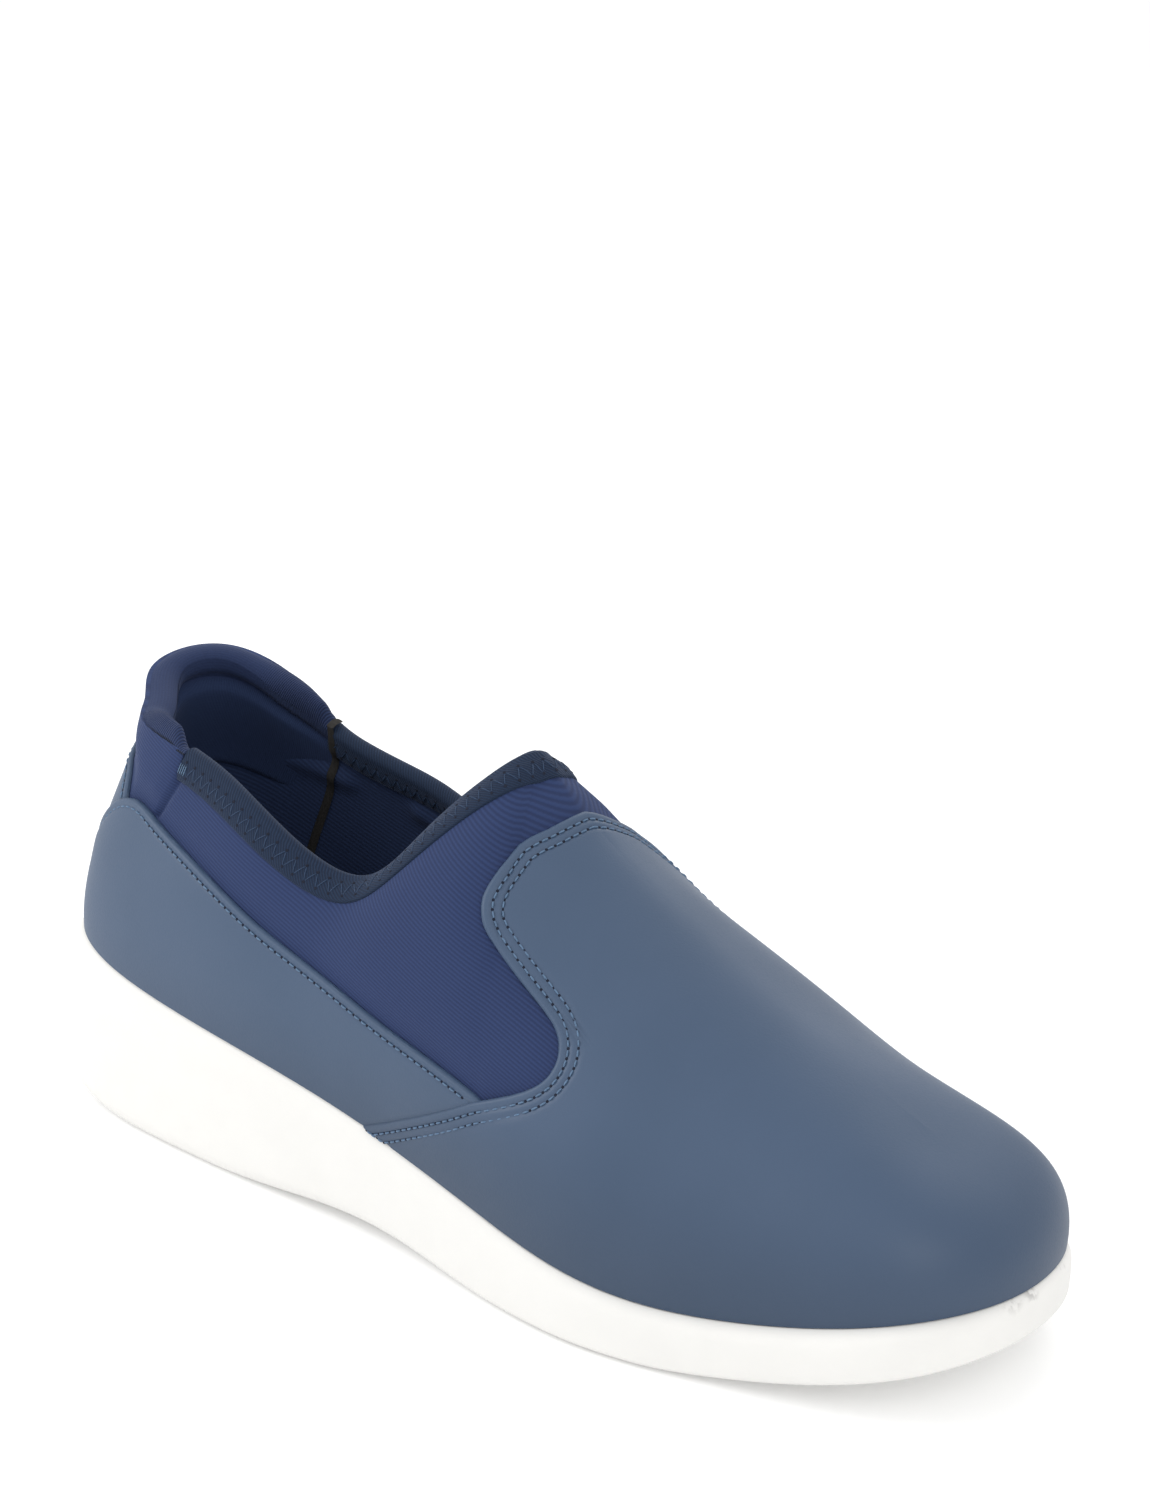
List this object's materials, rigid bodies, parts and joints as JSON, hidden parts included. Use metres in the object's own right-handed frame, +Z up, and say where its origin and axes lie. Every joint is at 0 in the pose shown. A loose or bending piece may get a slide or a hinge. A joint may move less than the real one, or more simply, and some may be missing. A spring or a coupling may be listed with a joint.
{
  "type": "slip-on sneaker",
  "caption": "Low slip-on sneaker for a right foot: hollow stretch upper with leather vamp and side panels, padded heel collar, bound opening and a white moulded wedge sole.",
  "frame": {"origin": "Under the middle of the bounding box, on the floor.", "axes": "+X runs from heel to toe, -Y is the outer side of the right foot, +Z is up."},
  "size_m": [0.2616, 0.097, 0.1074],
  "materials": {
    "sole_foam": "matt moulded white foam rubber",
    "insole_fabric": "dark knit over foam",
    "stretch_fabric": "navy stretch knit with fine ribs",
    "leather": "smooth matt navy leather",
    "lining": "soft navy lining over foam",
    "binding": "woven elastic tape"
  },
  "bodies": {
    "root": {"sole": "sole_foam", "insole": "insole_fabric", "upper": "stretch_fabric", "vamp": "leather", "quarter_outer": "leather", "quarter_inner": "leather", "back_stay": "leather", "collar_pad": "lining", "topline_binding": "binding"}
  },
  "joints": []
}
